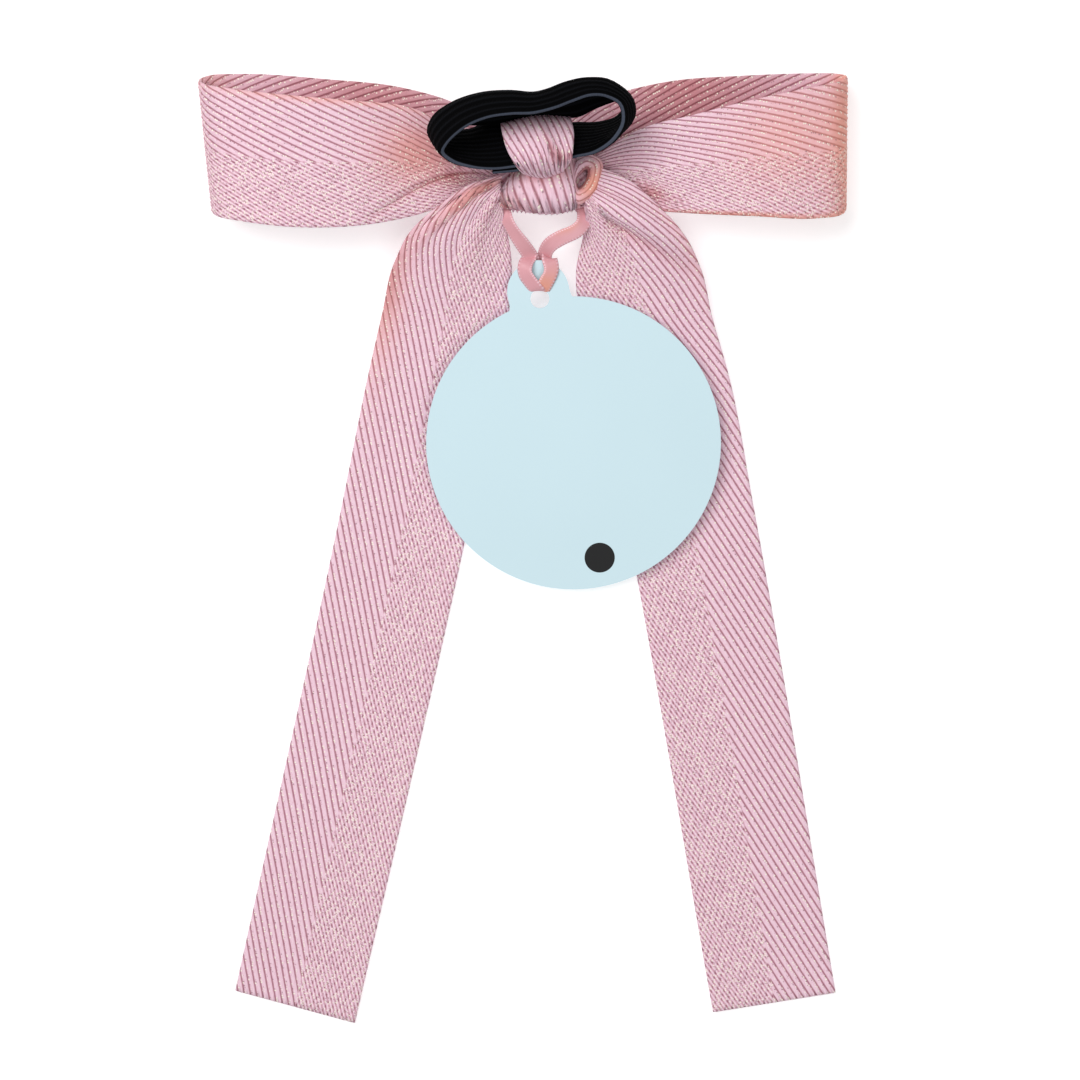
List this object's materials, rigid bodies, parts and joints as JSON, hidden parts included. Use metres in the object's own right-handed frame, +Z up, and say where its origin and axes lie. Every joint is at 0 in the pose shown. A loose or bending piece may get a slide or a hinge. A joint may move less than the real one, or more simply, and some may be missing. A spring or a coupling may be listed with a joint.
{
  "type": "hair bow",
  "caption": "Long-tailed ribbon hair bow with a knotted waist, an elastic hair tie held by a ribbon strap, and a round card swing tag on narrow satin ribbon.",
  "frame": {"origin": "on the table, under the middle of the bow's outline as it lies on its front", "axes": "+Z up from the table, out of the back of the bow; +Y from the tails to the loops; +X to the right seen from the back"},
  "size_m": [0.124, 0.1868, 0.0275],
  "materials": {
    "bow_ribbon": "herringbone twill with metallic thread",
    "elastic": "ribbed braided elastic",
    "card": "satin coated card",
    "satin_ribbon": "satin"
  },
  "bodies": {
    "bow": {"left_loop": "bow_ribbon", "right_loop": "bow_ribbon", "front_knot": "bow_ribbon", "waist_core": "bow_ribbon", "knot_back_band": "bow_ribbon", "knot_side_tuck": "bow_ribbon", "tag_ribbon_waist": "satin_ribbon"},
    "left_tail": {"left_tail": "bow_ribbon"},
    "right_tail": {"right_tail": "bow_ribbon"},
    "hair_tie": {"hair_tie": "elastic", "hair_tie_strap": "bow_ribbon"},
    "tag_ribbon": {"tag_ribbon_left": "satin_ribbon", "tag_ribbon_right": "satin_ribbon"},
    "tag": {"tag_card": "card", "tag_ribbon_hitch": "satin_ribbon"}
  },
  "joints": [
    {"name": "left_tail_swing", "type": "hinge", "parent": "bow", "child": "left_tail", "pos_m": [-0.0049, 0.0699, 0.01], "axis": [0, 0, 1], "range_deg": [-6, 8]},
    {"name": "right_tail_swing", "type": "hinge", "parent": "bow", "child": "right_tail", "pos_m": [0.0132, 0.07, 0.01], "axis": [0, 0, 1], "range_deg": [-8, 6]},
    {"name": "hair_tie_tilt", "type": "hinge", "parent": "bow", "child": "hair_tie", "pos_m": [0.0036, 0.0732, 0.0127], "axis": [1, 0, 0], "range_deg": [0, 60]},
    {"name": "tag_ribbon_lift", "type": "hinge", "parent": "bow", "child": "tag_ribbon", "pos_m": [0.004, 0.0668, 0.0092], "axis": [-1, 0, 0], "range_deg": [0, 40]},
    {"name": "tag_swing", "type": "hinge", "parent": "tag_ribbon", "child": "tag", "pos_m": [0.003, 0.0585, 0.0075], "axis": [0, -0.0698, 0.9976], "range_deg": [-15, 15]}
  ]
}
